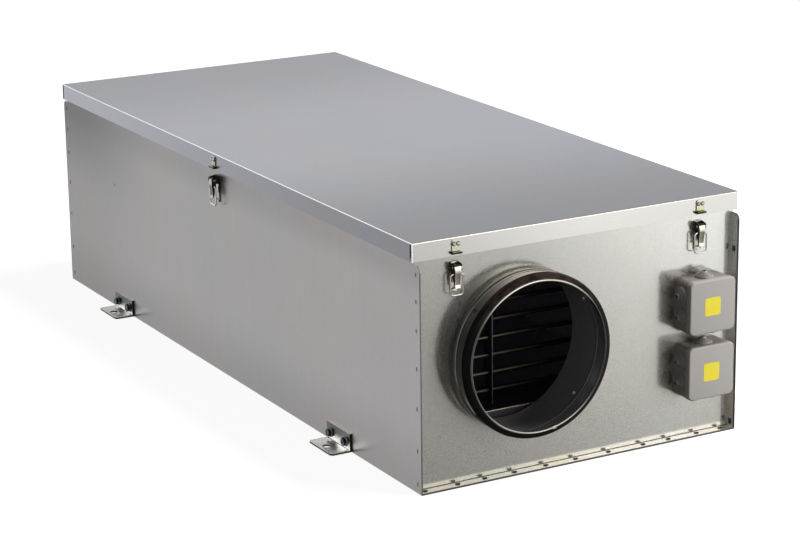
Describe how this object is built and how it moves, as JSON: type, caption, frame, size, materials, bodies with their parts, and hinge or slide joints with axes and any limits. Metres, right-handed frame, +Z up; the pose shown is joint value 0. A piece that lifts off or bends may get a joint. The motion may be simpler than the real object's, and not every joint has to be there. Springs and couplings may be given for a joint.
{
  "type": "duct air handling unit",
  "caption": "Flat galvanised duct air handling unit with round duct spigots, a lift-off lid held by draw latches, junction boxes on one end and angle feet.",
  "frame": {"origin": "middle of the underside, on the surface that the casing and its feet stand on", "axes": "+Z up, +Y along the air path from the end with the junction boxes to the other end, +X across to the side nearest the junction boxes"},
  "size_m": [0.6406, 1.414, 0.3835],
  "materials": {
    "side_sheet": "satin galvanised sheet with faint vertical streaks",
    "galvanised_sheet": "semi-gloss galvanised sheet with small spangle",
    "lid_sheet": "smooth satin galvanised sheet",
    "spigot_steel": "bright rolled galvanised sheet",
    "rubber": "matt brown-black rubber",
    "latch_steel": "bright zinc plate",
    "bright_wire": "bright drawn wire",
    "yellow_zinc": "pale yellow zinc plate",
    "grey_plastic": "moulded warm grey plastic",
    "cover_plastic": "moulded warm grey plastic, finely textured",
    "heater_steel": "dull galvanised sheet",
    "element_tube": "heat-browned tube"
  },
  "bodies": {
    "casing": {"bottom_panel": "side_sheet", "left_side_panel": "side_sheet", "right_side_panel": "side_sheet", "front_end_panel": "galvanised_sheet", "rear_end_panel": "galvanised_sheet", "front_spigot": "spigot_steel", "rear_spigot": "spigot_steel", "front_spigot_gasket": "rubber", "rear_spigot_gasket": "rubber", "front_left_foot": "galvanised_sheet", "front_right_foot": "galvanised_sheet", "rear_left_foot": "galvanised_sheet", "rear_right_foot": "galvanised_sheet", "front_left_latch_base": "latch_steel", "front_right_latch_base": "latch_steel", "rear_left_latch_base": "latch_steel", "rear_right_latch_base": "latch_steel", "left_side_latch_base": "latch_steel", "right_side_latch_base": "latch_steel", "upper_junction_box": "grey_plastic", "upper_junction_box_cover": "cover_plastic", "lower_junction_box": "grey_plastic", "lower_junction_box_cover": "cover_plastic", "heater_frame": "heater_steel", "heater_lower_element": "element_tube", "heater_upper_element": "element_tube"},
    "lid": {"lid": "lid_sheet", "front_left_keeper": "yellow_zinc", "front_right_keeper": "yellow_zinc", "rear_left_keeper": "yellow_zinc", "rear_right_keeper": "yellow_zinc", "left_side_keeper": "yellow_zinc", "right_side_keeper": "yellow_zinc"},
    "front_left_lever": {"front_left_latch_lever": "latch_steel"},
    "front_left_bail": {"front_left_latch_bail": "bright_wire"},
    "front_right_lever": {"front_right_latch_lever": "latch_steel"},
    "front_right_bail": {"front_right_latch_bail": "bright_wire"},
    "rear_left_lever": {"rear_left_latch_lever": "latch_steel"},
    "rear_left_bail": {"rear_left_latch_bail": "bright_wire"},
    "rear_right_lever": {"rear_right_latch_lever": "latch_steel"},
    "rear_right_bail": {"rear_right_latch_bail": "bright_wire"},
    "left_side_lever": {"left_side_latch_lever": "latch_steel"},
    "left_side_bail": {"left_side_latch_bail": "bright_wire"},
    "right_side_lever": {"right_side_latch_lever": "latch_steel"},
    "right_side_bail": {"right_side_latch_bail": "bright_wire"}
  },
  "joints": [
    {"name": "lid_lift", "type": "slide", "parent": "casing", "child": "lid", "axis": [0, 0, 1], "range_m": [0, 0.3]},
    {"name": "front_left_lever_swing", "type": "hinge", "parent": "casing", "child": "front_left_lever", "pos_m": [-0.217, -0.6685, 0.3385], "axis": [-1, 0, 0], "range_deg": [0, 90]},
    {"name": "front_left_bail_swing", "type": "hinge", "parent": "front_left_lever", "child": "front_left_bail", "pos_m": [-0.217, -0.6685, 0.3285], "axis": [-1, 0, 0], "range_deg": [0, 90]},
    {"name": "front_right_lever_swing", "type": "hinge", "parent": "casing", "child": "front_right_lever", "pos_m": [0.217, -0.6685, 0.3385], "axis": [-1, 0, 0], "range_deg": [0, 90]},
    {"name": "front_right_bail_swing", "type": "hinge", "parent": "front_right_lever", "child": "front_right_bail", "pos_m": [0.217, -0.6685, 0.3285], "axis": [-1, 0, 0], "range_deg": [0, 90]},
    {"name": "rear_left_lever_swing", "type": "hinge", "parent": "casing", "child": "rear_left_lever", "pos_m": [-0.217, 0.6685, 0.3385], "axis": [1, 0, 0], "range_deg": [0, 90]},
    {"name": "rear_left_bail_swing", "type": "hinge", "parent": "rear_left_lever", "child": "rear_left_bail", "pos_m": [-0.217, 0.6685, 0.3285], "axis": [1, 0, 0], "range_deg": [0, 90]},
    {"name": "rear_right_lever_swing", "type": "hinge", "parent": "casing", "child": "rear_right_lever", "pos_m": [0.217, 0.6685, 0.3385], "axis": [1, 0, 0], "range_deg": [0, 90]},
    {"name": "rear_right_bail_swing", "type": "hinge", "parent": "rear_right_lever", "child": "rear_right_bail", "pos_m": [0.217, 0.6685, 0.3285], "axis": [1, 0, 0], "range_deg": [0, 90]},
    {"name": "left_side_lever_swing", "type": "hinge", "parent": "casing", "child": "left_side_lever", "pos_m": [-0.2935, 0, 0.3385], "axis": [0, 1, 0], "range_deg": [0, 90]},
    {"name": "left_side_bail_swing", "type": "hinge", "parent": "left_side_lever", "child": "left_side_bail", "pos_m": [-0.2935, 0, 0.3285], "axis": [0, 1, 0], "range_deg": [0, 90]},
    {"name": "right_side_lever_swing", "type": "hinge", "parent": "casing", "child": "right_side_lever", "pos_m": [0.2935, 0, 0.3385], "axis": [0, -1, 0], "range_deg": [0, 90]},
    {"name": "right_side_bail_swing", "type": "hinge", "parent": "right_side_lever", "child": "right_side_bail", "pos_m": [0.2935, 0, 0.3285], "axis": [0, -1, 0], "range_deg": [0, 90]}
  ]
}
